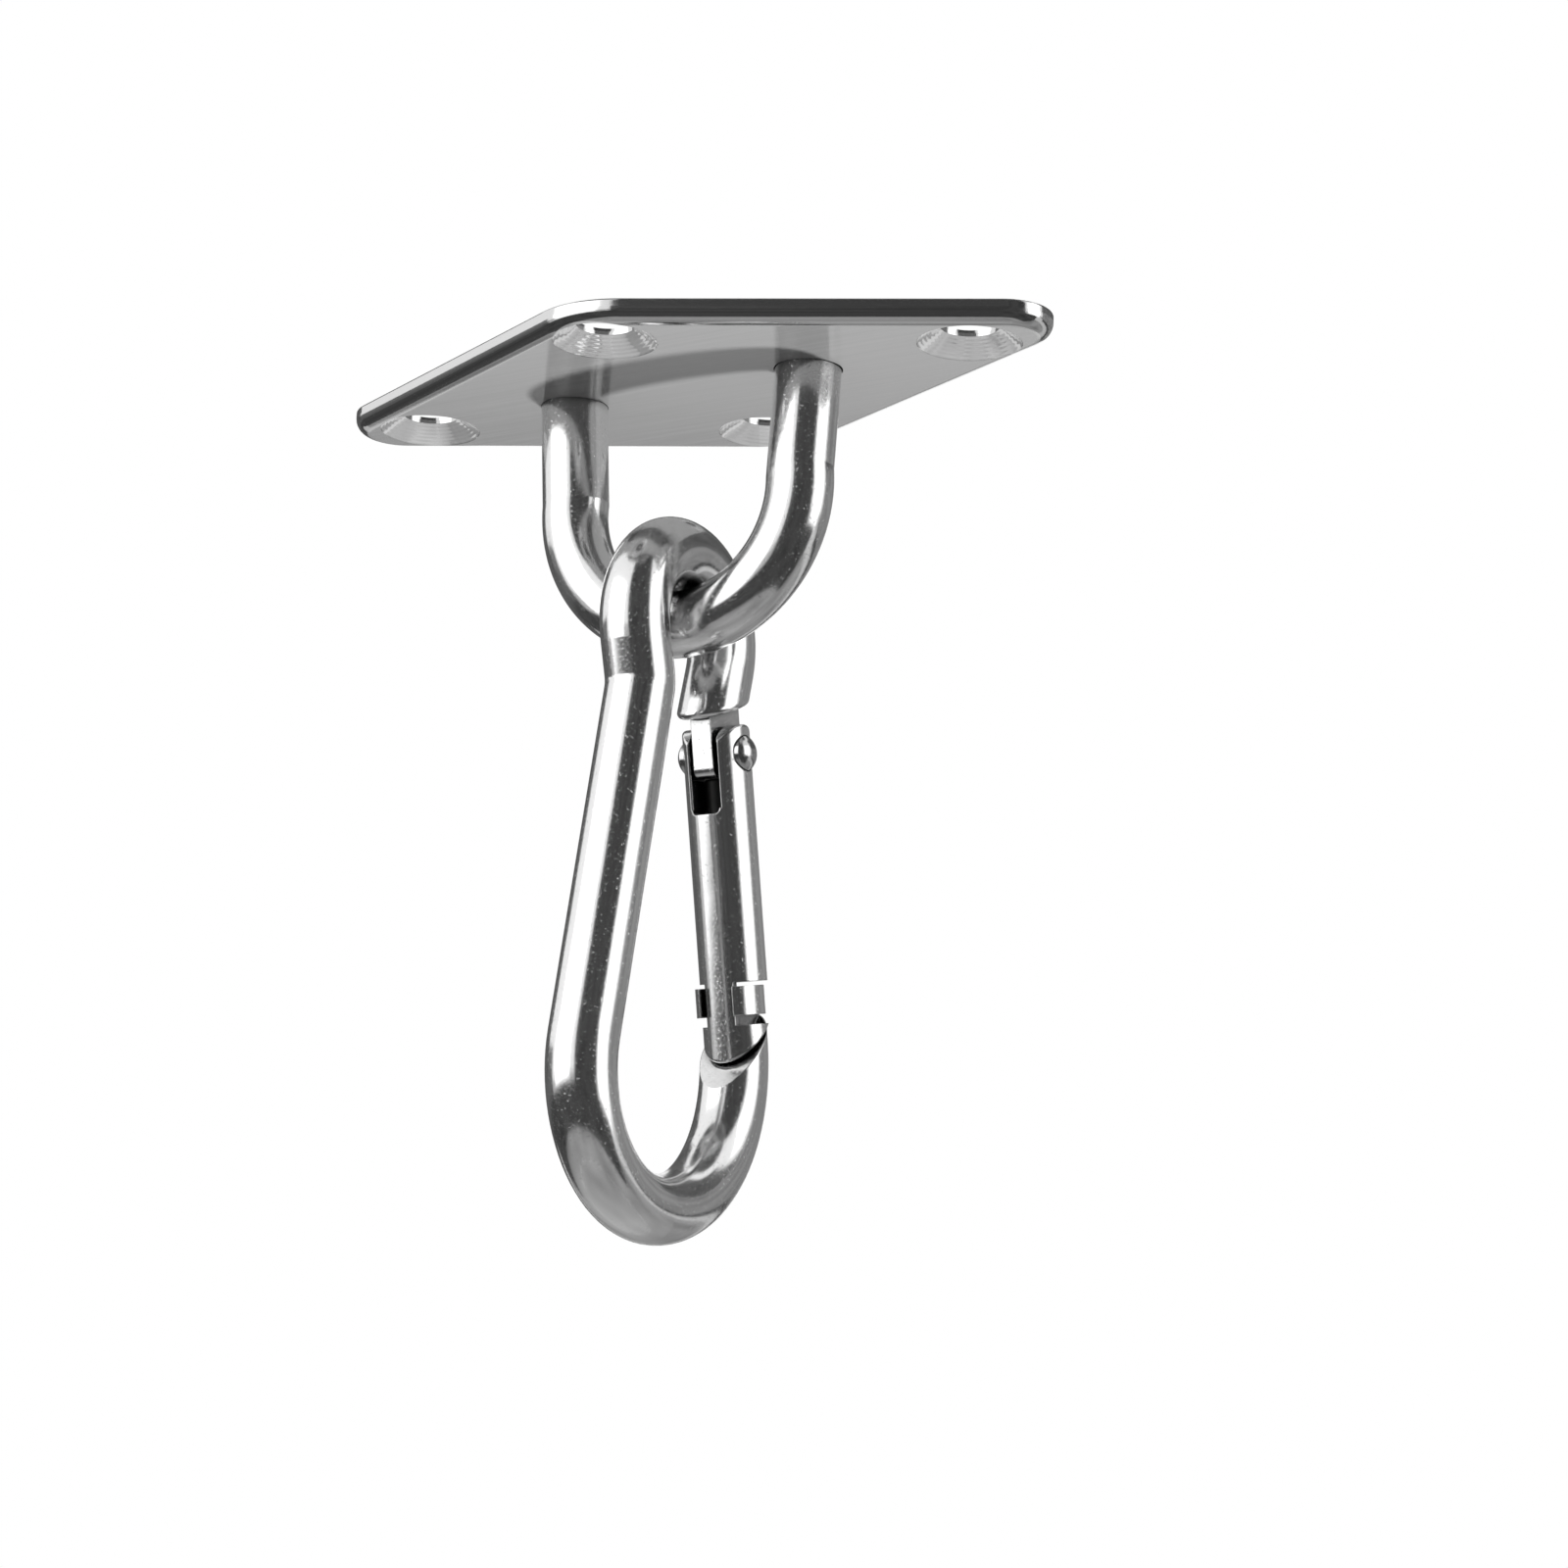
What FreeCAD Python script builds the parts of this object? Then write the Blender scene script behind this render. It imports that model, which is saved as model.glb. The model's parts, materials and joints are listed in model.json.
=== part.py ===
"""Ceiling hook for a hammock: a diamond base plate with a welded rod eye, and a pear-shaped
snap hook that hangs in the eye and shuts with a sprung, latching gate.

Millimetres, +Z up. The origin is the centre of the plate's back face, which lies against the
ceiling. X runs along the plate's long diagonal and holds the eye; the hook hangs in the YZ plane.
"""
import FreeCAD, Part
import math
import os

from FreeCAD import Placement, Rotation, Vector

# Base plate
PLATE_SIDE = 56.9              # side of the diamond, corner to corner before rounding
PLATE_ACUTE_ANGLE = 52.0       # degrees, at the two ends of the long diagonal
PLATE_THICKNESS = 2.6
ACUTE_CORNER_RADIUS = 5.3
OBTUSE_CORNER_RADIUS = 11.0
FRONT_EDGE_RADIUS = 1.7        # rolled edge on the side that faces the room
BACK_EDGE_RADIUS = 0.3
HOLE_SPACING_LONG = 70.0       # screw holes, along X
HOLE_SPACING_SHORT = 35.0      # screw holes, along Y
HOLE_DIAMETER = 6.4
SINK_DIAMETER = 11.4
SINK_DEPTH = 1.9

# Rod eye, welded into the plate
EYE_ROD_DIAMETER = 7.5
EYE_BEND_RADIUS = 14.5         # of the rod's centreline
EYE_LEG_LEAN = 3.4             # degrees, each leg leans in towards the bend
EYE_DROP = 27.1                # from the plate's front to the lowest point of the centreline
EYE_HOLE_CLEARANCE = 0.05      # radial, leg in plate
WELD_LEG = 1.0                 # bevel that the weld fills behind the plate

# Snap hook body, one bent rod
HOOK_ROD_DIAMETER = 7.6
HOOK_LENGTH = 80.0             # overall
HANG_GAP = 0.2                 # between the hook and the eye where one hangs in the other
LOOP_RADIUS = 9.1              # small loop at the top, centreline
LOOP_OFFSET = -0.55            # of the loop's centre from the eye's middle, along Y
NECK_LEAN = 15.5               # degrees, both limbs of the loop lean in below it
NECK_LENGTH = 5.0              # from the loop's arc to the corner of the kink
KINK_RADIUS = 4.3
NOSE_LENGTH = 4.9              # from the loop's arc to the shoulder above the gate
SHOULDER_SLANT = 25.0          # degrees, higher on the outside to let the gate's ears turn
SHOULDER_EDGE_RADIUS = 0.6
SPINE_BEND_RADIUS = 13.7       # wide end, centreline, from the spine to the lowest point
GATE_BEND_RADIUS = 17.0        # wide end, centreline, from the lowest point to the latch

# Gate: pivot and tongue
RIVET_DROP = 11.8              # rivet below the loop's centre
RIVET_OFFSET = 8.9             # rivet beside the loop's centre, towards the gate
GATE_LEAN = 11.3               # degrees, the gate leans out towards the wide end
GATE_DIAMETER = 7.5
GATE_EDGE_RADIUS = 0.3         # round on the gate's ears and lip
TONGUE_THICKNESS = 2.5
TONGUE_WIDTH = 6.4
TONGUE_REACH = 2.5             # below the rivet
TONGUE_CORNER_RADIUS = 1.0
TONGUE_ROOT = 6.5              # above the rivet, buried in the rod
SLOT_WIDTH = 3.5               # fork slot, and bore for the plunger and its spring
SLOT_DEPTH = 6.5               # below the rivet
SLOT_CORNER_RADIUS = 0.6
SLOT_BEVEL = 0.3               # along the slot's rims
EAR_RISE = 3.2                 # above the rivet
BORE_FLOOR = 4.0               # solid bar between the bore and the windows
RIVET_DIAMETER = 2.5
RIVET_HEAD_DIAMETER = 3.8
RIVET_HEAD_RIM = 0.6           # straight rim under the dome
RIVET_DOME = 0.9
RIVET_SEAT = 3.2               # from the gate's middle plane to each flat seat
RIVET_CLEARANCE = 0.05         # radial, rivet in the tongue
SEAT_CLEARANCE = 0.1           # radial, head in its seat
RIVET_PRESS_GAP = 0.02         # radial, rivet in the ears

# Gate: spring and plunger
PLUNGER_CLEARANCE = 0.1        # radial, plunger in its bore
PLUNGER_TIP_GAP = 0.05         # plunger to tongue
PLUNGER_HEAD_LENGTH = 6.0
PLUNGER_EDGE_RADIUS = 0.3
PLUNGER_STEM_DIAMETER = 1.8
PLUNGER_STEM_LENGTH = 3.0
SPRING_WIRE = 0.5
SPRING_PITCH = 1.4
SPRING_CLEARANCE = 0.1         # radial, spring in the bore
SPRING_END_GAP = 0.1           # spring to plunger and to the bore's floor

# Gate: latch
LATCH_SETBACK = 1.0            # the rod's end stands this far inside the gate's axis
WINDOW_RISE = 9.1              # from the tip of the lip up to the windows' top
WINDOW_HEIGHT = 4.7
HEAD_TOP_GAP = 0.45            # between the window's top and the T head
HEAD_HEIGHT = 3.2
RIB_WIDTH = 3.6                # inner wall of the gate left between its two windows
RIB_THICKNESS = 1.3
LATCH_CLEARANCE = 0.3          # between the gate and the T head, neck and saddle
NECK_WIDTH = 3.0               # neck that carries the T head
LIP_DROP = 2.6                 # tip of the lip below the start of the wide bend
LIP_ANGLE = 43.0               # degrees, slant of the gate's end and of the saddle under it

# Places that follow from the sizes above
EYE_R = EYE_ROD_DIAMETER / 2
HOOK_R = HOOK_ROD_DIAMETER / 2
GATE_R = GATE_DIAMETER / 2
FRONT_Z = -PLATE_THICKNESS
EYE_BOTTOM_Z = FRONT_Z - EYE_DROP
EYE_CENTRE_Z = EYE_BOTTOM_Z + EYE_BEND_RADIUS
LOOP_SLACK = LOOP_RADIUS - HOOK_R - EYE_R - HANG_GAP
LOOP_Z = EYE_BOTTOM_Z - math.sqrt(LOOP_SLACK ** 2 - LOOP_OFFSET ** 2)
LOOP = Vector(0, LOOP_OFFSET, LOOP_Z)
RIVET = LOOP + Vector(0, RIVET_OFFSET, -RIVET_DROP)
LEAN = Rotation(Vector(1, 0, 0), GATE_LEAN)
GATE_OUT = LEAN.multVec(Vector(0, 1, 0))
GATE_UP = LEAN.multVec(Vector(0, 0, 1))
LATCH = RIVET - GATE_OUT * LATCH_SETBACK
FOOT_Z = LOOP_Z + LOOP_RADIUS + HOOK_ROD_DIAMETER - HOOK_LENGTH
GATE_BEND_Z = FOOT_Z + GATE_BEND_RADIUS
FOOT_Y = (LATCH.dot(GATE_OUT) - GATE_BEND_RADIUS - GATE_BEND_Z * GATE_OUT.z) / GATE_OUT.y
GATE_BEND = Vector(0, FOOT_Y, GATE_BEND_Z)
SPINE_BEND = Vector(0, FOOT_Y, FOOT_Z + SPINE_BEND_RADIUS)
LIP_LENGTH = (RIVET - GATE_BEND).dot(GATE_UP) + LIP_DROP
WINDOW_TOP = LIP_LENGTH - WINDOW_RISE
HEAD_TOP = WINDOW_TOP + HEAD_TOP_GAP
BORE_DEPTH = WINDOW_TOP - BORE_FLOOR
FAR = 100.0                    # longer than anything that it cuts


def save(shape, node):
    """Writes one node's solids to its own file."""
    shape.exportStep("parts/" + node + ".step")


def box(x0, x1, y0, y1, z0, z1):
    """A block between two corners."""
    return Part.makeBox(x1 - x0, y1 - y0, z1 - z0, Vector(x0, y0, z0))


def rod(edges, start, direction, radius):
    """A round rod that follows the edges of a path."""
    profile = Part.Wire([Part.makeCircle(radius, start, direction)])
    return Part.Wire(edges).makePipeShell([profile], True, False)


def arc(first, middle, last):
    """An arc through three points."""
    return Part.Arc(first, middle, last).toShape()


def line(first, last):
    """A straight edge."""
    return Part.LineSegment(first, last).toShape()


def in_plane(y, z):
    """A point of the hook's middle plane."""
    return Vector(0, y, z)


def on_gate(shape):
    """Moves a shape drawn with the rivet at its origin and the gate along -Z to its place."""
    placed = shape.copy()
    placed.Placement = Placement(RIVET, LEAN).multiply(placed.Placement)
    return placed


def plate_outline():
    """The diamond at the back face, its four corners rounded."""
    half = math.radians(PLATE_ACUTE_ANGLE / 2)
    long_half = PLATE_SIDE * math.cos(half)
    short_half = PLATE_SIDE * math.sin(half)
    corners = (
        (long_half, 0.0, half, ACUTE_CORNER_RADIUS),
        (short_half, 90.0, math.pi / 2 - half, OBTUSE_CORNER_RADIUS),
        (long_half, 180.0, half, ACUTE_CORNER_RADIUS),
        (short_half, 270.0, math.pi / 2 - half, OBTUSE_CORNER_RADIUS),
    )
    arcs = []
    for reach, facing, half_angle, radius in corners:
        centre = reach - radius / math.sin(half_angle)
        spread = 90.0 - math.degrees(half_angle)
        turn = Rotation(Vector(0, 0, 1), facing)
        points = []
        for angle in (-spread, 0.0, spread):
            along = Rotation(Vector(0, 0, 1), angle).multVec(Vector(radius, 0, 0))
            points.append(turn.multVec(Vector(centre, 0, 0) + along))
        arcs.append(points)
    edges = []
    for index, points in enumerate(arcs):
        edges.append(arc(*points))
        edges.append(line(points[2], arcs[(index + 1) % len(arcs)][0]))
    return Part.Wire(edges)


def leg_axis(side):
    """Where one leg of the eye crosses the plate's back face, and its direction downwards."""
    lean = math.radians(EYE_LEG_LEAN)
    tangent_x = EYE_BEND_RADIUS * math.cos(lean)
    tangent_z = EYE_CENTRE_Z + EYE_BEND_RADIUS * math.sin(lean)
    root_x = tangent_x - tangent_z * math.tan(lean)
    return Vector(side * root_x, 0, 0), Vector(-side * math.sin(lean), 0, -math.cos(lean))


def base_plate():
    """Stamped diamond plate with countersunk holes, and bevelled holes for the eye's legs."""
    plate = Part.Face(plate_outline()).extrude(Vector(0, 0, FRONT_Z))
    front = [edge for edge in plate.Edges if abs(edge.BoundBox.ZMax - FRONT_Z) < 1e-6]
    plate = plate.makeFillet(FRONT_EDGE_RADIUS, front)
    back = [edge for edge in plate.Edges if abs(edge.BoundBox.ZMin) < 1e-6]
    plate = plate.makeFillet(BACK_EDGE_RADIUS, back)
    long_half = HOLE_SPACING_LONG / 2
    short_half = HOLE_SPACING_SHORT / 2
    hole_r = HOLE_DIAMETER / 2
    for x, y in ((long_half, 0), (-long_half, 0), (0, short_half), (0, -short_half)):
        centre = Vector(x, y, FRONT_Z)
        plate = plate.cut(Part.makeCylinder(hole_r, PLATE_THICKNESS, centre))
        plate = plate.cut(Part.makeCone(SINK_DIAMETER / 2, hole_r, SINK_DEPTH, centre))
    for side in (1, -1):
        plate = plate.cut(leg_stock(side, EYE_R + EYE_HOLE_CLEARANCE))
        plate = plate.cut(weld_cone(side))
    return plate


def leg_stock(side, radius):
    """A straight round bar on the axis of one leg, longer than the plate is thick."""
    root, down = leg_axis(side)
    return Part.makeCylinder(radius, 4 * PLATE_THICKNESS, root - down * (2 * PLATE_THICKNESS), down)


def weld_cone(side):
    """The bevel round one leg at the back of the plate, up to the back face."""
    root, down = leg_axis(side)
    hole_r = EYE_R + EYE_HOLE_CLEARANCE
    cone = Part.makeCone(hole_r + 2 * WELD_LEG, hole_r, 2 * WELD_LEG, root - down * WELD_LEG, down)
    return cone.common(box(-FAR, FAR, -FAR, FAR, FRONT_Z, 0))


def eye_rod():
    """U-shaped rod whose two ends pass through the plate and finish flush with its back."""
    lean = math.radians(EYE_LEG_LEAN)
    tangents = []
    for side in (-1, 1):
        x = side * EYE_BEND_RADIUS * math.cos(lean)
        tangents.append(Vector(x, 0, EYE_CENTRE_Z + EYE_BEND_RADIUS * math.sin(lean)))
    left, down = leg_axis(-1)
    right = leg_axis(1)[0]
    start = left - down * PLATE_THICKNESS
    end = right - leg_axis(1)[1] * PLATE_THICKNESS
    path = [
        line(start, tangents[0]),
        arc(tangents[0], Vector(0, 0, EYE_BOTTOM_Z), tangents[1]),
        line(tangents[1], end),
    ]
    return rod(path, start, down, EYE_R).cut(box(-FAR, FAR, -FAR, FAR, 0, FAR))


def rear_welds():
    """Two weld beads, ground flush, that fill the bevels round the legs."""
    beads = []
    for side in (1, -1):
        beads.append(weld_cone(side).cut(leg_stock(side, EYE_R + EYE_HOLE_CLEARANCE / 2)))
    return Part.makeCompound(beads)


def nose_run():
    """Where the loop's arc ends above the nose, and the nose's direction downwards."""
    neck = math.radians(NECK_LEAN)
    start = LOOP + in_plane(math.cos(neck), -math.sin(neck)) * LOOP_RADIUS
    return start, in_plane(-math.sin(neck), -math.cos(neck))


def hook_path():
    """Centreline of the hook's rod, from the nose over the loop and round to the latch."""
    nose_arc, nose_down = nose_run()
    nose_end = nose_arc + nose_down * (NOSE_LENGTH + HOOK_R)
    spine_arc = in_plane(2 * LOOP.y - nose_arc.y, nose_arc.z)
    spine_down = in_plane(-nose_down.y, nose_down.z)
    corner = spine_arc + spine_down * NECK_LENGTH

    # The spine runs from the kink's corner along the tangent to the wide bend.
    reach = SPINE_BEND - corner
    swing = math.asin(SPINE_BEND_RADIUS / reach.Length)
    spine = Rotation(Vector(1, 0, 0), -math.degrees(swing)).multVec(reach).normalize()
    spine_end = corner + spine * (reach.Length * math.cos(swing))
    spine_out = (spine_end - SPINE_BEND).normalize()

    turn = spine_down.getAngle(spine)
    trim = KINK_RADIUS * math.tan(turn / 2)
    kink_start = corner - spine_down * trim
    kink_end = corner + spine * trim
    into = (spine - spine_down).normalize()
    kink_middle = corner + into * (KINK_RADIUS / math.cos(turn / 2) - KINK_RADIUS)

    # The wide bend is two arcs that meet at the lowest point; the second runs into the latch end.
    foot = in_plane(FOOT_Y, FOOT_Z)
    spine_middle = SPINE_BEND + (spine_out - in_plane(0, 1)).normalize() * SPINE_BEND_RADIUS
    gate_middle = GATE_BEND + (GATE_OUT - in_plane(0, 1)).normalize() * GATE_BEND_RADIUS
    latch_arc = GATE_BEND + GATE_OUT * GATE_BEND_RADIUS
    edges = [
        line(nose_end, nose_arc),
        arc(nose_arc, LOOP + in_plane(0, LOOP_RADIUS), spine_arc),
        line(spine_arc, kink_start),
        arc(kink_start, kink_middle, kink_end),
        line(kink_end, spine_end),
        arc(spine_end, spine_middle, foot),
        arc(foot, gate_middle, latch_arc),
        line(latch_arc, LATCH - GATE_UP * HEAD_TOP),
    ]
    return edges, nose_end, -nose_down


def shouldered(bent_rod):
    """The bent rod without what lies below the slanted shoulder, whose rim is rounded."""
    start, down = nose_run()
    nose = start + down * NOSE_LENGTH
    slant = Rotation(Vector(1, 0, 0), SHOULDER_SLANT)
    block = box(-HOOK_R * 2, HOOK_R * 2, -HOOK_R * 2, HOOK_R * 2, -HOOK_R * 3, 0)
    block.Placement = Placement(nose, slant)
    cut = bent_rod.cut(block)
    up = slant.multVec(Vector(0, 0, 1))
    rim = [edge for edge in cut.Edges if abs((edge.CenterOfMass - nose).dot(up)) < 1e-4]
    return cut.makeFillet(SHOULDER_EDGE_RADIUS, rim)


def tongue():
    """Flat tongue under the nose, rounded at its foot and bored for the rivet."""
    half = TONGUE_WIDTH / 2
    flat = box(-TONGUE_THICKNESS / 2, TONGUE_THICKNESS / 2, -half, half, -TONGUE_REACH, TONGUE_ROOT)
    foot = [
        edge for edge in flat.Edges
        if abs(edge.BoundBox.ZMax + TONGUE_REACH) < 1e-6 and edge.BoundBox.YLength < 1e-6
    ]
    flat = flat.makeFillet(TONGUE_CORNER_RADIUS, foot)
    bore_r = RIVET_DIAMETER / 2 + RIVET_CLEARANCE
    bore = Part.makeCylinder(bore_r, HOOK_R * 2, Vector(-HOOK_R, 0, 0), Vector(1, 0, 0))
    return on_gate(flat.cut(bore))


def slanted_end(gap):
    """Everything below the slanted end of the gate, lowered by a gap."""
    block = box(-HOOK_R * 2, HOOK_R * 2, -FAR, FAR, -FAR, 0)
    corner = Vector(0, -GATE_R, -LIP_LENGTH)
    slant = Rotation(Vector(1, 0, 0), LIP_ANGLE)
    block.Placement = Placement(corner + slant.multVec(Vector(0, 0, -gap)), slant)
    return block


def latch_relief():
    """What is cut from the rod's end so that only the saddle, the neck and the T head stay."""
    stock = box(-HOOK_R * 2, HOOK_R * 2, -HOOK_R * 3, HOOK_R * 3, -LIP_LENGTH * 1.2, -WINDOW_TOP)
    floor = RIB_THICKNESS + LATCH_CLEARANCE - GATE_R
    neck = box(-NECK_WIDTH / 2, NECK_WIDTH / 2, floor, HOOK_R * 3, -LIP_LENGTH * 1.2, -HEAD_TOP)
    arms = box(-HOOK_R * 2, HOOK_R * 2, -HOOK_R * 3, HOOK_R * 3, -HEAD_TOP - HEAD_HEIGHT, -HEAD_TOP)
    groove = RIB_WIDTH / 2 + LATCH_CLEARANCE
    arms = arms.cut(box(-groove, groove, -HOOK_R * 3, floor, -FAR, 0))
    return on_gate(stock.cut(slanted_end(LATCH_CLEARANCE)).cut(neck).cut(arms))


def hook_body():
    """Bent rod with the hinge tongue at its nose and the T-headed catch at its other end."""
    edges, start, direction = hook_path()
    body = shouldered(rod(edges, start, direction, HOOK_R)).cut(latch_relief())
    return body.fuse(tongue()).removeSplitter()


def gate_stock():
    """Round gate bar with its rounded ears at the top and its slanted end at the foot."""
    bar = Part.makeCylinder(GATE_R, LIP_LENGTH * 1.3 + EAR_RISE, Vector(0, 0, EAR_RISE), Vector(0, 0, -1))
    crown_z = EAR_RISE - GATE_R
    crown = Part.makeCylinder(GATE_R, GATE_R * 2, Vector(-GATE_R, 0, crown_z), Vector(1, 0, 0))
    top = box(-GATE_R, GATE_R, -GATE_R, GATE_R, crown_z, EAR_RISE).cut(crown)
    bar = bar.cut(top).cut(slanted_end(0))
    rims = [edge for edge in bar.Edges if len(bar.ancestorsOfType(edge, Part.Face)) == 2]
    return bar.makeFillet(GATE_EDGE_RADIUS, rims)


def fork_slot():
    """What is cut for the fork slot: the slot with rounded floor corners and bevelled rims."""
    half = SLOT_WIDTH / 2
    slot = box(-half, half, -GATE_R * 2, GATE_R * 2, -SLOT_DEPTH, GATE_R * 2)
    floor = [
        edge for edge in slot.Edges
        if abs(edge.BoundBox.ZMax + SLOT_DEPTH) < 1e-6 and edge.BoundBox.XLength < 1e-6
    ]
    slot = slot.makeFillet(SLOT_CORNER_RADIUS, floor)
    rim_y = math.sqrt(GATE_R ** 2 - half ** 2)
    side = SLOT_BEVEL * math.sqrt(2) / 2
    for x, y in ((half, rim_y), (-half, rim_y), (half, -rim_y), (-half, -rim_y)):
        bevel = box(-side, side, -side, side, SLOT_CORNER_RADIUS - SLOT_DEPTH, GATE_R * 2)
        bevel.Placement = Placement(Vector(x, y, 0), Rotation(Vector(0, 0, 1), 45))
        slot = slot.fuse(bevel)
    return slot


def gate():
    """Gate bar: forked and bored at the top, windowed and slotted for the catch at the foot."""
    bar = gate_stock()
    bar = bar.cut(fork_slot())
    bar = bar.cut(Part.makeCylinder(SLOT_WIDTH / 2, BORE_DEPTH, Vector(0, 0, 0), Vector(0, 0, -1)))
    ear_hole_r = RIVET_DIAMETER / 2 + RIVET_PRESS_GAP
    bar = bar.cut(Part.makeCylinder(ear_hole_r, GATE_R * 2, Vector(-GATE_R, 0, 0), Vector(1, 0, 0)))
    seat_r = RIVET_HEAD_DIAMETER / 2 + SEAT_CLEARANCE
    for side in (1, -1):
        seat = Part.makeCylinder(seat_r, GATE_R, Vector(side * RIVET_SEAT, 0, 0), Vector(side, 0, 0))
        bar = bar.cut(seat)

    rib = RIB_WIDTH / 2
    rib_y = RIB_THICKNESS - GATE_R
    window_foot = -WINDOW_TOP - WINDOW_HEIGHT
    window = box(-GATE_R * 2, GATE_R * 2, -GATE_R * 2, GATE_R * 2, window_foot, -WINDOW_TOP)
    window = window.cut(box(-rib, rib, -GATE_R * 2, rib_y, window_foot, -WINDOW_TOP))
    neck_half = NECK_WIDTH / 2 + LATCH_CLEARANCE
    neck_slot = box(-neck_half, neck_half, rib_y, GATE_R * 2, -FAR, -WINDOW_TOP)
    return on_gate(bar.cut(window).cut(neck_slot))


def gate_rivet():
    """Round-headed rivet through the ears and the tongue."""
    shank_r = RIVET_DIAMETER / 2
    head_r = RIVET_HEAD_DIAMETER / 2
    rim_x = RIVET_SEAT + RIVET_HEAD_RIM
    top_x = rim_x + RIVET_DOME
    dome_r = (head_r ** 2 + RIVET_DOME ** 2) / (2 * RIVET_DOME)
    half_angle = math.asin(head_r / dome_r) / 2
    middle = Vector(top_x - dome_r + dome_r * math.cos(half_angle), dome_r * math.sin(half_angle), 0)
    profile = [
        line(Vector(0, 0, 0), Vector(0, shank_r, 0)),
        line(Vector(0, shank_r, 0), Vector(RIVET_SEAT, shank_r, 0)),
        line(Vector(RIVET_SEAT, shank_r, 0), Vector(RIVET_SEAT, head_r, 0)),
        line(Vector(RIVET_SEAT, head_r, 0), Vector(rim_x, head_r, 0)),
        arc(Vector(rim_x, head_r, 0), middle, Vector(top_x, 0, 0)),
        line(Vector(top_x, 0, 0), Vector(0, 0, 0)),
    ]
    half = Part.Face(Part.Wire(profile)).revolve(Vector(0, 0, 0), Vector(1, 0, 0), 360)
    other = half.mirror(Vector(0, 0, 0), Vector(1, 0, 0))
    return on_gate(half.fuse(other).removeSplitter())


def gate_plunger():
    """Plunger in the gate's bore: its head bears on the tongue and its stem guides the spring."""
    top = -TONGUE_REACH - PLUNGER_TIP_GAP
    head_r = SLOT_WIDTH / 2 - PLUNGER_CLEARANCE
    head = Part.makeCylinder(head_r, PLUNGER_HEAD_LENGTH, Vector(0, 0, top), Vector(0, 0, -1))
    rims = [edge for edge in head.Edges if edge.BoundBox.ZLength < 1e-6]
    head = head.makeFillet(PLUNGER_EDGE_RADIUS, rims)
    stem_length = PLUNGER_STEM_LENGTH + PLUNGER_HEAD_LENGTH / 2
    stem_top = Vector(0, 0, top - PLUNGER_HEAD_LENGTH / 2)
    stem = Part.makeCylinder(PLUNGER_STEM_DIAMETER / 2, stem_length, stem_top, Vector(0, 0, -1))
    return on_gate(head.fuse(stem).removeSplitter())


def gate_spring():
    """Compression spring between the plunger's head and the floor of the bore."""
    wire_r = SPRING_WIRE / 2
    coil_r = SLOT_WIDTH / 2 - SPRING_CLEARANCE - wire_r
    top = -TONGUE_REACH - PLUNGER_TIP_GAP - PLUNGER_HEAD_LENGTH - SPRING_END_GAP - wire_r
    foot = -BORE_DEPTH + SPRING_END_GAP + wire_r
    height = top - foot
    helix = Part.makeHelix(SPRING_PITCH, height, coil_r)
    profile = Part.Wire([Part.makeCircle(wire_r, Vector(coil_r, 0, 0), Vector(0, 1, 0))])
    spring = Part.Wire(helix).makePipeShell([profile], True, True)
    spring.translate(Vector(0, 0, foot))
    return on_gate(spring)


os.makedirs("parts", exist_ok=True)
save(base_plate(), "base_plate")
save(eye_rod(), "eye_rod")
save(rear_welds(), "rear_welds")
save(hook_body(), "hook_body")
save(gate(), "gate")
save(gate_rivet(), "gate_rivet")
save(gate_plunger(), "gate_plunger")
save(gate_spring(), "gate_spring")
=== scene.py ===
"""Looks of a stainless ceiling hook for a hammock: base plate, rod eye, snap hook and gate."""
import json
import math

import bpy
from mathutils import Matrix, Vector


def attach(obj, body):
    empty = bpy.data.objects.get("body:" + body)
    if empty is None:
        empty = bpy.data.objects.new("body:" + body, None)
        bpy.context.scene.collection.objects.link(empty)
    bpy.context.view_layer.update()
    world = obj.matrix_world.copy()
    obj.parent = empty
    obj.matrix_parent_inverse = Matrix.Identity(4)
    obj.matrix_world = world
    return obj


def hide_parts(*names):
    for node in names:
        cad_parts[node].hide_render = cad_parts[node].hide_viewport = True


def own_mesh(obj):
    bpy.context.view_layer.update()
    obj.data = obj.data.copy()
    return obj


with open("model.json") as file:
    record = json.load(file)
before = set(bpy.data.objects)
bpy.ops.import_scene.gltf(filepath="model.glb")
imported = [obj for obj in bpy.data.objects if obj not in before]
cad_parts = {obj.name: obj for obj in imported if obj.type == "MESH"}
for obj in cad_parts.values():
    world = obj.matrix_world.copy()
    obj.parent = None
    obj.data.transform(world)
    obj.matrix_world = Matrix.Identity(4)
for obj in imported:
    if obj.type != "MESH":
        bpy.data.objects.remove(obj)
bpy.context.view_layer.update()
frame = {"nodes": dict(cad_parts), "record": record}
nodes = frame["nodes"]


# Base plate
# A diamond pressed from stainless sheet, its front edge rolled over by the press and its face
# buffed to a mirror that still shows the mill's rolling direction. Screw holes are sunk last.
def linear(hex_colour):
    """An sRGB hex colour as a linear colour with alpha."""
    channels = []
    for start in (0, 2, 4):
        value = int(hex_colour[start:start + 2], 16) / 255
        channels.append(value / 12.92 if value <= 0.04045 else ((value + 0.055) / 1.055) ** 2.4)
    return (*channels, 1.0)


def add(tree, kind, settings=(), *sources, **links):
    """Adds a node, sets its properties and free sockets, and links sockets in order or by name."""
    made = tree.nodes.new(kind)
    for name, value in dict(settings).items():
        if isinstance(name, str) and hasattr(made, name):
            setattr(made, name, value)
        else:
            made.inputs[name].default_value = value
    for index, source in enumerate(sources):
        tree.links.new(source, made.inputs[index])
    for name, source in links.items():
        tree.links.new(source, made.inputs[name.replace("_", " ")])
    return made


def per_metre(size_mm):
    """Scale of a pattern whose features are this many millimetres wide."""
    return 1000 / size_mm


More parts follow.
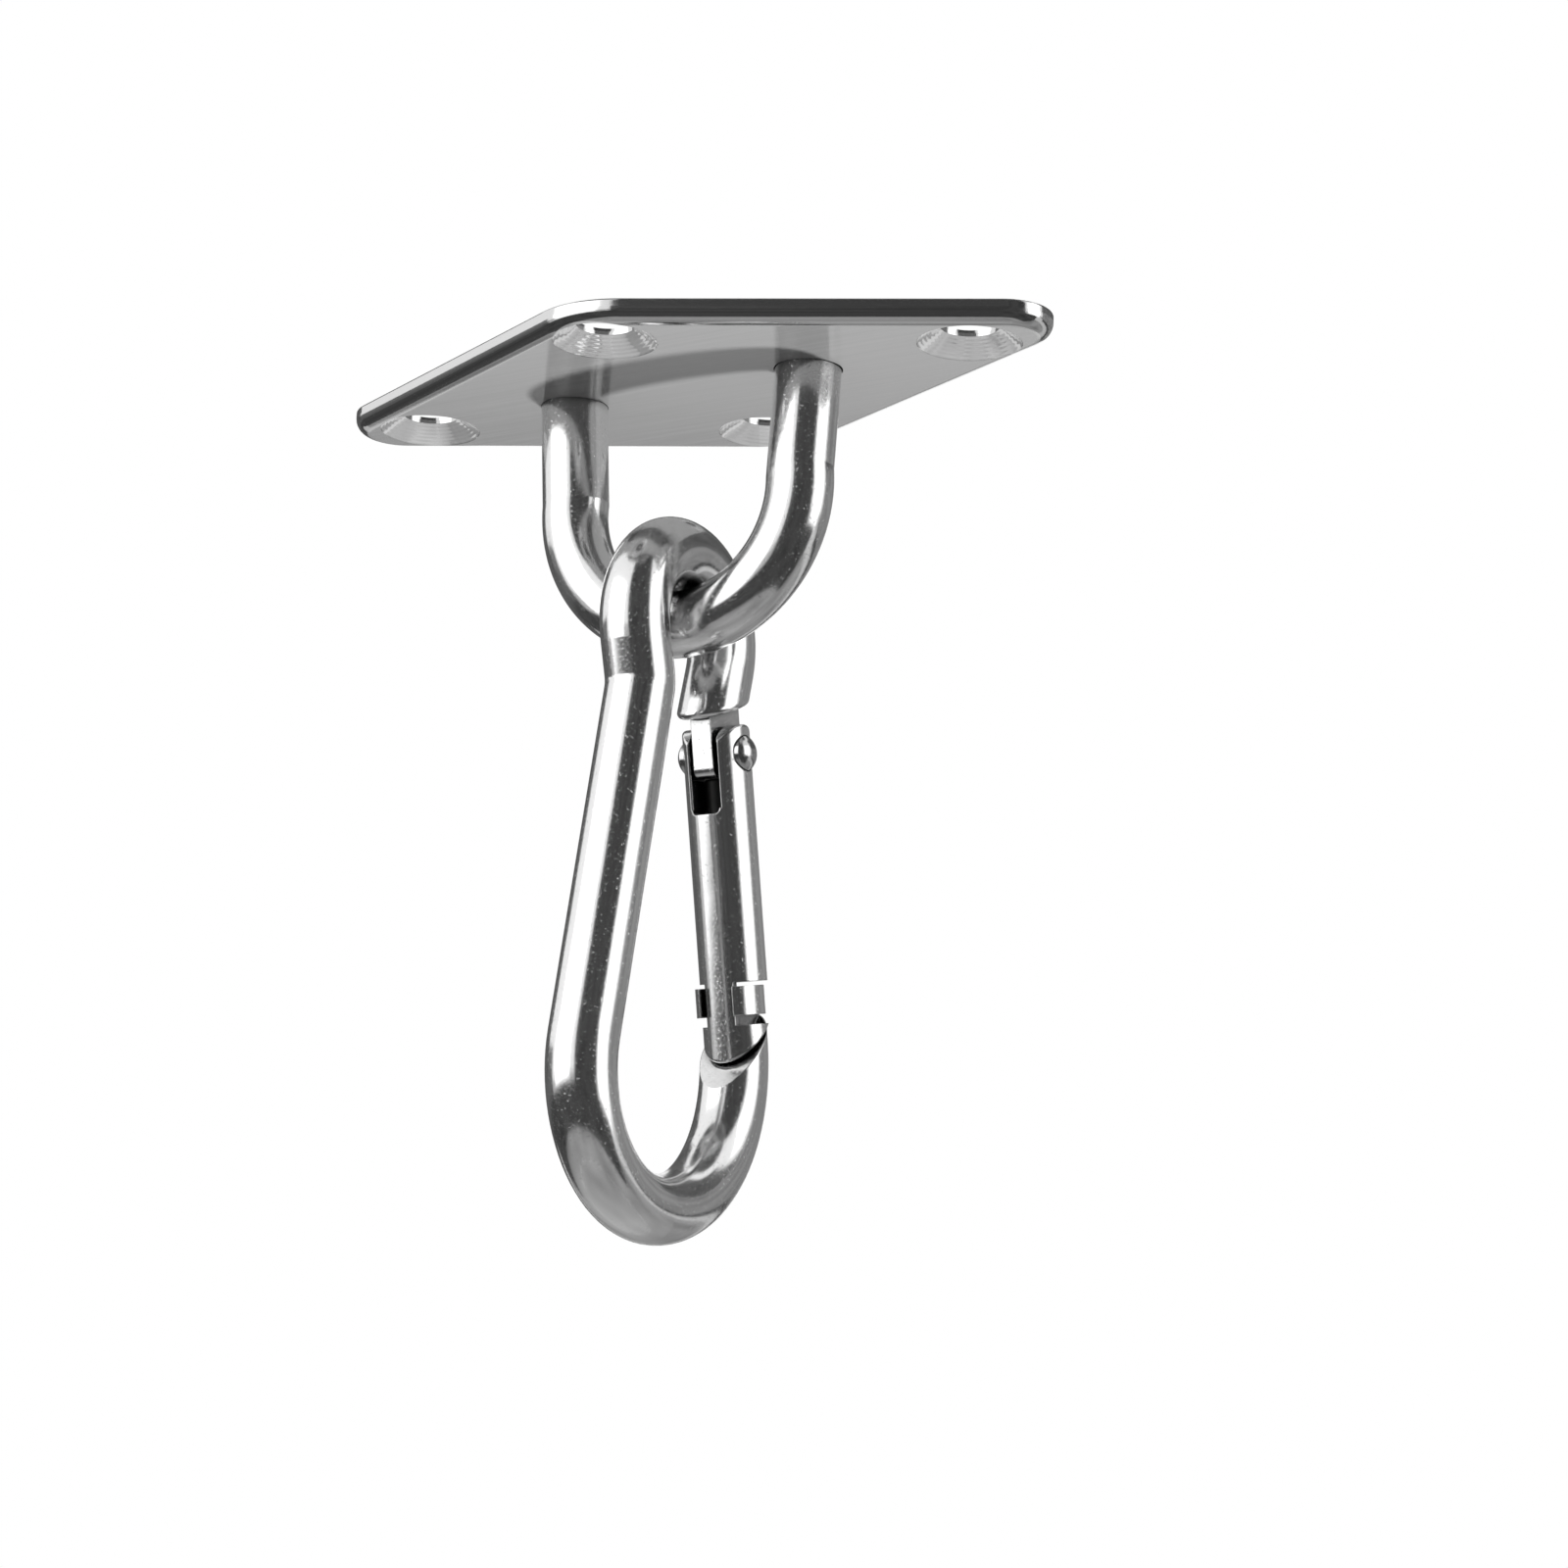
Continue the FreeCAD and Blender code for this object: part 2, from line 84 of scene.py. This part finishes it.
def steel(name, settings=()):
    """A new metal material and its shader, with the metal's values set on it."""
    material = bpy.data.materials.new(name)
    material.use_nodes = True
    tree = material.node_tree
    shader = tree.nodes["Principled BSDF"]
    for socket, value in {"Metallic": 1.0, **dict(settings)}.items():
        shader.inputs[socket].default_value = value
    return material, tree, shader


def dress(node, material):
    """Gives a CAD node its one material."""
    nodes[node].data.materials.clear()
    nodes[node].data.materials.append(material)


# Buffed 304 sheet. The rolled grain is a few hundredths of a millimetre wide, drawn here at
# 0.5 mm so that it shows, and runs along the plate. The flat face scatters part of the light, so
# the eye sees a hazy grey mirror with faint streaks; the rolled edge and sinks are burnished.
GRAIN_MM = 0.5
GRAIN_DRAWN_OUT = (0.03, 1.0, 1.0)
plate_finish, tree, shader = steel("buffed_rolled_sheet")
place = add(tree, "ShaderNodeTexCoord")
along = add(tree, "ShaderNodeMapping", {"Scale": GRAIN_DRAWN_OUT}, Vector=place.outputs["Object"])
grain = add(tree, "ShaderNodeTexNoise", {"Scale": per_metre(GRAIN_MM), "Detail": 5.0},
            Vector=along.outputs["Vector"])
facing = add(tree, "ShaderNodeSeparateXYZ", {}, place.outputs["Normal"])
level_face = add(tree, "ShaderNodeMath", {"operation": "ABSOLUTE"}, facing.outputs["Z"])
haze = add(tree, "ShaderNodeMapRange", {"From Min": 0.97, "From Max": 0.999},
           Value=level_face.outputs["Value"])
face_colour = add(tree, "ShaderNodeMixRGB",
                  {"Color1": linear("868686"), "Color2": linear("949494")},
                  Fac=grain.outputs["Fac"])
plate_colour = add(tree, "ShaderNodeMixRGB", {"Color1": linear("dadada")},
                   Fac=haze.outputs["Result"], Color2=face_colour.outputs["Color"])
grain_gloss = add(tree, "ShaderNodeMapRange", {"To Min": 0.07, "To Max": 0.17},
                  Value=grain.outputs["Fac"])
grain_bump = add(tree, "ShaderNodeBump", {"Strength": 0.3, "Distance": 0.00001},
                 Height=grain.outputs["Fac"])

# The bit that cut the sinks left them bright, with rings 0.4 mm apart and chatter facets of some
# 3 mm, which break up the reflections. They stop short of the plate's back.
SINK_RADIUS = 0.0057
SINK_RIM = 0.0001
BACK_SKIN = 0.0002
RING_MM = 0.4
CHATTER_MM = 3.0
mount_sizes = {mount["name"]: mount["dims"] for mount in frame["record"]["mounts"]}
quarter_holes = ((mount_sizes["screws_long"]["spacing_x_mm"] / 2000, 0, 0),
                 (0, mount_sizes["screws_short"]["spacing_y_mm"] / 2000, 0))
flat_place = add(tree, "ShaderNodeVectorMath", {"operation": "MULTIPLY", 1: (1, 1, 0)},
                 place.outputs["Object"])
quarter_place = add(tree, "ShaderNodeVectorMath", {"operation": "ABSOLUTE"},
                    flat_place.outputs["Vector"])
hole_distances = [add(tree, "ShaderNodeVectorMath", {"operation": "DISTANCE", 1: hole},
                      quarter_place.outputs["Vector"]).outputs["Value"] for hole in quarter_holes]
hole_distance = add(tree, "ShaderNodeMath", {"operation": "MINIMUM"}, *hole_distances)
near_hole = add(tree, "ShaderNodeMapRange",
                {"From Min": SINK_RADIUS, "From Max": SINK_RADIUS - SINK_RIM},
                Value=hole_distance.outputs["Value"])
depth = add(tree, "ShaderNodeSeparateXYZ", {}, place.outputs["Object"])
in_sink = add(tree, "ShaderNodeMapRange", {"From Min": -BACK_SKIN, "From Max": -2 * BACK_SKIN},
              Value=depth.outputs["Z"], To_Max=near_hole.outputs["Result"])
ring_turn = add(tree, "ShaderNodeMath",
                {"operation": "MULTIPLY", 1: 2 * math.pi * per_metre(RING_MM)},
                hole_distance.outputs["Value"])
ring = add(tree, "ShaderNodeMath", {"operation": "SINE"}, ring_turn.outputs["Value"])
ring_bump = add(tree, "ShaderNodeBump", {"Distance": 0.000005}, Height=ring.outputs["Value"],
                Strength=in_sink.outputs["Result"], Normal=grain_bump.outputs["Normal"])
chatter = add(tree, "ShaderNodeTexNoise", {"Scale": per_metre(CHATTER_MM), "Detail": 0.0},
              Vector=place.outputs["Object"])
chatter_bump = add(tree, "ShaderNodeBump", {"Distance": 0.0003}, Height=chatter.outputs["Fac"],
                   Strength=in_sink.outputs["Result"], Normal=ring_bump.outputs["Normal"])
sink_haze = add(tree, "ShaderNodeMapRange", {"To Max": 0.4}, Value=in_sink.outputs["Result"])
scatter = add(tree, "ShaderNodeMath", {"operation": "MAXIMUM"}, haze.outputs["Result"],
              sink_haze.outputs["Result"])
mirror = add(tree, "ShaderNodeMapRange", {"To Min": 1.0, "To Max": 0.5},
             Value=scatter.outputs["Value"])
tree.links.new(plate_colour.outputs["Color"], shader.inputs["Base Color"])
tree.links.new(mirror.outputs["Result"], shader.inputs["Metallic"])
tree.links.new(grain_gloss.outputs["Result"], shader.inputs["Roughness"])
tree.links.new(chatter_bump.outputs["Normal"], shader.inputs["Normal"])
dress("base_plate", plate_finish)


# Rod eye
# Round stainless bar bent to a U, set in two holes of the plate and welded behind it, then
# polished on a wheel until it mirrors the room.
PIT_MM = 0.3
EDGE_BREAK = 0.0002
# How far the painted shade in gaps and corners reaches.
PAINTED_SHADE_REACH = 0.0012


# Wheel-polished bar keeps a slow waviness of some millimetres, which makes the reflections'
# edges wander, and scattered pits of a few tenths that sparkle. The wheel breaks sharp edges by
# 0.2 mm. Gaps and corners of about 1 mm get painted shade: the colour turns a dull darker grey.
def polished_bar(name, colour, wave_mm, wave_depth):
    """Mirror-polished stainless bar with a wheel's waviness, broken edges and fine pits."""
    material, tree, shader = steel(name)
    # Painted shade: where ambient occlusion finds gaps and corners, the colour turns to 8a8a8a
    # grey.
    painted_shade_probe = add(tree, "ShaderNodeAmbientOcclusion", {"Distance": PAINTED_SHADE_REACH, "samples": 8})
    painted_shade_mix = add(tree, "ShaderNodeMapRange", {"From Min": 0.3, "From Max": 0.92},
                  Value=painted_shade_probe.outputs["AO"])
    bar_colour_and_painted_shade = add(tree, "ShaderNodeMixRGB",
                     {"Color1": linear("8a8a8a"), "Color2": linear(colour)},
                     Fac=painted_shade_mix.outputs["Result"])
    edge = add(tree, "ShaderNodeBevel", {"Radius": EDGE_BREAK, "samples": 6})
    place = add(tree, "ShaderNodeTexCoord")
    wave = add(tree, "ShaderNodeTexNoise", {"Scale": per_metre(wave_mm), "Detail": 1.0},
               Vector=place.outputs["Object"])
    wave_bump = add(tree, "ShaderNodeBump", {"Strength": 1.0, "Distance": wave_depth},
                    Height=wave.outputs["Fac"], Normal=edge.outputs["Normal"])
    pits = add(tree, "ShaderNodeTexNoise", {"Scale": per_metre(PIT_MM), "Detail": 3.0},
               Vector=place.outputs["Object"])
    pit_gloss = add(tree, "ShaderNodeMapRange",
                    {"From Min": 0.45, "From Max": 0.8, "To Min": 0.14, "To Max": 0.26},
                    Value=pits.outputs["Fac"])
    pit_depth = add(tree, "ShaderNodeMapRange",
                    {"From Min": 0.66, "From Max": 0.72, "To Max": -1.0},
                    Value=pits.outputs["Fac"])
    pit_bump = add(tree, "ShaderNodeBump", {"Strength": 0.4, "Distance": 0.00003},
                   Height=pit_depth.outputs["Result"], Normal=wave_bump.outputs["Normal"])
    tree.links.new(bar_colour_and_painted_shade.outputs["Color"], shader.inputs["Base Color"])
    tree.links.new(pit_gloss.outputs["Result"], shader.inputs["Roughness"])
    tree.links.new(pit_bump.outputs["Normal"], shader.inputs["Normal"])
    return material


dress("eye_rod", polished_bar("polished_eye_bar", "e8e8e8", wave_mm=6.0, wave_depth=0.00006))


# Rear welds
# Two beads of filler metal that hold the eye's legs, ground flush with the plate's back so that
# it lies flat on the ceiling.
# Ground weld: coarse scratches from the disc over slightly heat-tinted steel, so that it looks
# duller and warmer than the plate.
SCRATCH_MM = 0.25
SCRATCH_DRAWN_OUT = (1.0, 0.08, 1.0)
weld_finish, tree, shader = steel("ground_weld", {"Base Color": linear("b9b3aa")})
place = add(tree, "ShaderNodeTexCoord")
along = add(tree, "ShaderNodeMapping", {"Scale": SCRATCH_DRAWN_OUT}, Vector=place.outputs["Object"])
scratch = add(tree, "ShaderNodeTexNoise", {"Scale": per_metre(SCRATCH_MM), "Detail": 4.0},
              Vector=along.outputs["Vector"])
scratch_gloss = add(tree, "ShaderNodeMapRange", {"To Min": 0.25, "To Max": 0.5},
                    Value=scratch.outputs["Fac"])
scratch_bump = add(tree, "ShaderNodeBump", {"Strength": 0.5, "Distance": 0.00003},
                   Height=scratch.outputs["Fac"])
tree.links.new(scratch_gloss.outputs["Result"], shader.inputs["Roughness"])
tree.links.new(scratch_bump.outputs["Normal"], shader.inputs["Normal"])
dress("rear_welds", weld_finish)


# Snap hook body and gate
# One bent bar and the forked bar that shuts it, polished together after the latch was milled, so
# both share one mirror finish.
hook_finish = polished_bar("polished_hook_bar", "ebebeb", wave_mm=8.0, wave_depth=0.00006)
dress("hook_body", hook_finish)
dress("gate", hook_finish)


# Gate rivet
# A plain stainless rivet whose two heads are peened over the gate's ears; the peening leaves the
# dome slightly uneven.
dress("gate_rivet", polished_bar("peened_rivet", "cfcfcf", wave_mm=1.2, wave_depth=0.00002))


# Plunger and spring
# A pin and a coil of spring steel inside the gate's bore that push against the tongue, oil
# blackened so that they stay dark in the slot.
# Blackened spring steel: near-black oxide with a soft, uneven sheen.
OXIDE_MM = 0.8
black_finish, tree, shader = steel("blackened_spring_steel", {"Base Color": linear("2b2b2b")})
place = add(tree, "ShaderNodeTexCoord")
oxide = add(tree, "ShaderNodeTexNoise", {"Scale": per_metre(OXIDE_MM), "Detail": 3.0},
            Vector=place.outputs["Object"])
oxide_gloss = add(tree, "ShaderNodeMapRange", {"To Min": 0.3, "To Max": 0.55},
                  Value=oxide.outputs["Fac"])
tree.links.new(oxide_gloss.outputs["Result"], shader.inputs["Roughness"])
dress("gate_plunger", black_finish)
dress("gate_spring", black_finish)

# The coil shortens as the gate opens and drives the plunger in. A copy of it with its own mesh,
# attached to the gate, stands for the rigid solid.
coil_mesh = nodes["gate_spring"].data.copy()
coil_mesh.transform(nodes["gate_spring"].matrix_world)
coil_mesh.materials.clear()
coil_mesh.materials.append(black_finish)
coil = bpy.data.objects.new("spring_coil", coil_mesh)
bpy.context.scene.collection.objects.link(coil)
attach(coil, "gate")
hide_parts("gate_spring")
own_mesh(coil)


# Floor
# A matt painted board on the studio floor, under the hanging hook, which takes its shadow: an even
# pale grey with no gloss.
FLOOR_Z = -0.165
FLOOR_SIZE = 6.0
bpy.ops.mesh.primitive_plane_add(size=FLOOR_SIZE, location=(0, 0, FLOOR_Z))
floor = bpy.context.object
floor.name = "floor"
floor_finish = bpy.data.materials.new("pale_matt_floor")
floor_finish.use_nodes = True
floor_shader = floor_finish.node_tree.nodes["Principled BSDF"]
floor_shader.inputs["Base Color"].default_value = linear("e8e8e8")
floor_shader.inputs["Roughness"].default_value = 0.9
floor.data.materials.append(floor_finish)


# Studio
# White surroundings with three soft boxes, and grey cloths round, over and under the hook that
# give polished steel its dark stripes. Turns are in degrees from the camera, to its right positive.
CAMERA_TURN = 30.304
HOOK_MIDDLE = Vector((0, 0, -0.05))
BOX_DISTANCE = 0.75
BOX_RADIANCE = 1.1


def studio_place(turn, distance, height):
    """A point round the hook."""
    angle = math.radians(CAMERA_TURN + turn)
    return Vector((math.sin(angle) * distance, -math.cos(angle) * distance, height))


def soft_box(name, place, width, tall, radiance):
    """A soft box that faces the hook, seen only in reflections and as light."""
    lamp = bpy.data.lights.new(name, "AREA")
    lamp.shape = "RECTANGLE"
    lamp.size = width
    lamp.size_y = tall
    lamp.energy = radiance * math.pi * width * tall
    box = bpy.data.objects.new(name, lamp)
    box.location = place
    box.rotation_euler = (place - HOOK_MIDDLE).to_track_quat("Z", "Y").to_euler()
    box.visible_camera = False
    bpy.context.scene.collection.objects.link(box)
    return box


soft_box("left_soft_box", studio_place(-62, BOX_DISTANCE, 0.15), width=0.8, tall=0.7,
         radiance=BOX_RADIANCE)
soft_box("right_soft_box", studio_place(70, BOX_DISTANCE, 0.0), width=0.42, tall=0.9,
         radiance=BOX_RADIANCE)
top_soft_box = soft_box("top_soft_box", Vector((0, 0, 0.8)), width=0.9, tall=0.9, radiance=0.8)
top_soft_box.visible_glossy = False

# Studio cloth: grey felt that hangs in soft folds, so its light varies slowly over some 90 mm and
# the stripes it gives the steel aren't flat.
FOLD_MM = 90
ARC_STEPS = 12


def cloth_arc(name, first_turn, last_turn, first_edge, second_edge, grey):
    """A cloth round the hook between two edges, each a distance and height, seen in reflections."""
    cloth_finish = bpy.data.materials.new(name)
    cloth_finish.use_nodes = True
    tree = cloth_finish.node_tree
    tree.nodes.clear()
    place = add(tree, "ShaderNodeTexCoord")
    fold = add(tree, "ShaderNodeTexNoise", {"Scale": per_metre(FOLD_MM), "Detail": 2.0},
               Vector=place.outputs["Object"])
    fold_light = add(tree, "ShaderNodeMapRange",
                     {"From Min": 0.3, "From Max": 0.7, "To Min": 0.6, "To Max": 1.4},
                     Value=fold.outputs["Fac"])
    lit = add(tree, "ShaderNodeEmission", {"Color": linear(grey)},
              Strength=fold_light.outputs["Result"])
    add(tree, "ShaderNodeOutputMaterial", {}, Surface=lit.outputs["Emission"])
    points = []
    faces = []
    for step in range(ARC_STEPS + 1):
        turn = first_turn + (last_turn - first_turn) * step / ARC_STEPS
        for distance, height in (first_edge, second_edge):
            points.append(studio_place(turn, distance, height))
        if step:
            corner = 2 * step
            faces.append((corner - 2, corner, corner + 1, corner - 1))
    mesh = bpy.data.meshes.new(name)
    mesh.from_pydata(points, [], faces)
    mesh.materials.append(cloth_finish)
    cloth = bpy.data.objects.new(name, mesh)
    bpy.context.scene.collection.objects.link(cloth)
    cloth.visible_camera = False
    cloth.visible_diffuse = False
    cloth.visible_shadow = False


# Each cloth's edges are given by their distance from the plumb line through the plate's middle and
# their height, in metres.
CAMERA_FLAG = 0.5
FAR_FLAG = 0.9
FLAG_FOOT = -0.16
TABLE_Z = FLOOR_Z + 0.002
CEILING_Z = 0.75
TABLE_NEAR = 0.06
TABLE_FRONT = 0.12
cloth_arc("camera_flag", -20, 48, (CAMERA_FLAG, TABLE_Z), (CAMERA_FLAG, CEILING_Z), "454545")
cloth_arc("ceiling_cloth", 0, 360, (0.0, CEILING_Z), (CAMERA_FLAG, CEILING_Z), "5c5c5c")
cloth_arc("left_flag", -174, -125, (FAR_FLAG, FLAG_FOOT), (FAR_FLAG, 0.6), "5c5c5c")
cloth_arc("low_left_flag", -125, -100, (FAR_FLAG, FLAG_FOOT), (FAR_FLAG, 0.12), "6a6a6a")
cloth_arc("right_flag", 94, 166, (FAR_FLAG, FLAG_FOOT), (FAR_FLAG, 0.3), "8a8a8a")
cloth_arc("high_back_flag", 94, 220, (FAR_FLAG, 0.3), (FAR_FLAG, 1.0), "5c5c5c")
cloth_arc("table_middle", 0, 360, (0.0, TABLE_Z), (TABLE_NEAR, TABLE_Z), "a0a0a0")
cloth_arc("table_near_front", -140, 80, (TABLE_NEAR, TABLE_Z), (TABLE_FRONT, TABLE_Z), "989898")
cloth_arc("table_front", -140, 80, (TABLE_FRONT, TABLE_Z), (0.7, TABLE_Z), "444444")
cloth_arc("table_back", 80, 220, (TABLE_NEAR, TABLE_Z), (0.3, TABLE_Z), "949494")
cloth_arc("table_far", 100, 260, (0.5, TABLE_Z), (1.3, TABLE_Z), "4a4a4a")

# A distant lamp under the hook and a little behind it, which throws the eye's shadow on the plate.
UNDER_LAMP_SIDE = Vector((0.0, 0.26, -1.0))
under_lamp = bpy.data.lights.new("under_lamp", "SUN")
under_lamp.angle = math.radians(4)
under_lamp.energy = 6.0
under = bpy.data.objects.new("under_lamp", under_lamp)
under.rotation_euler = UNDER_LAMP_SIDE.to_track_quat("Z", "Y").to_euler()
under.visible_camera = False
under.visible_glossy = False
bpy.context.scene.collection.objects.link(under)
blockers = bpy.data.collections.new("under_lamp_blockers")
blockers.objects.link(nodes["eye_rod"])
under.light_linking.blocker_collection = blockers

# The room is white to the camera and in reflections, and half as bright as a source of light.
world = bpy.data.worlds.new("white_studio")
bpy.context.scene.world = world
world.use_nodes = True
tree = world.node_tree
tree.nodes.clear()
ray = add(tree, "ShaderNodeLightPath")
seen = add(tree, "ShaderNodeMath", {"operation": "MAXIMUM"}, ray.outputs["Is Camera Ray"],
           ray.outputs["Is Glossy Ray"])
seen_or_through = add(tree, "ShaderNodeMath", {"operation": "MAXIMUM"}, seen.outputs["Value"],
                      ray.outputs["Is Transmission Ray"])
glow = add(tree, "ShaderNodeMapRange", {"To Min": 0.5, "To Max": 1.0},
           Value=seen_or_through.outputs["Value"])
backdrop = add(tree, "ShaderNodeBackground", {"Color": linear("ffffff")},
               Strength=glow.outputs["Result"])
add(tree, "ShaderNodeOutputWorld", {}, Surface=backdrop.outputs["Background"])


# Camera
# Below the hook and to its right, looking up, as in the photograph.
CAMERA_PLACE = Vector((0.22509, -0.36204, -0.14528))
CAMERA_RISE = -12.943
CAMERA_ROLL = 1.529
LENS_MM = 92.44
SENSOR_MM = 36.0
turn = math.radians(CAMERA_TURN)
rise = math.radians(CAMERA_RISE)
roll = math.radians(CAMERA_ROLL)
back = Vector((math.sin(turn) * math.cos(rise), -math.cos(turn) * math.cos(rise), math.sin(rise)))
level = Vector((math.cos(turn), math.sin(turn), 0))
plumb = back.cross(level)
right = math.cos(roll) * level + math.sin(roll) * plumb
up = math.cos(roll) * plumb - math.sin(roll) * level
aim = Matrix((right, up, back)).transposed().to_4x4()
lens = bpy.data.cameras.new("camera")
lens.sensor_width = SENSOR_MM
lens.lens = LENS_MM
lens.clip_start = 0.01
camera = bpy.data.objects.new("camera", lens)
camera.matrix_world = Matrix.Translation(CAMERA_PLACE) @ aim
bpy.context.scene.collection.objects.link(camera)
bpy.context.scene.camera = camera
bpy.context.scene.view_settings.view_transform = "Standard"
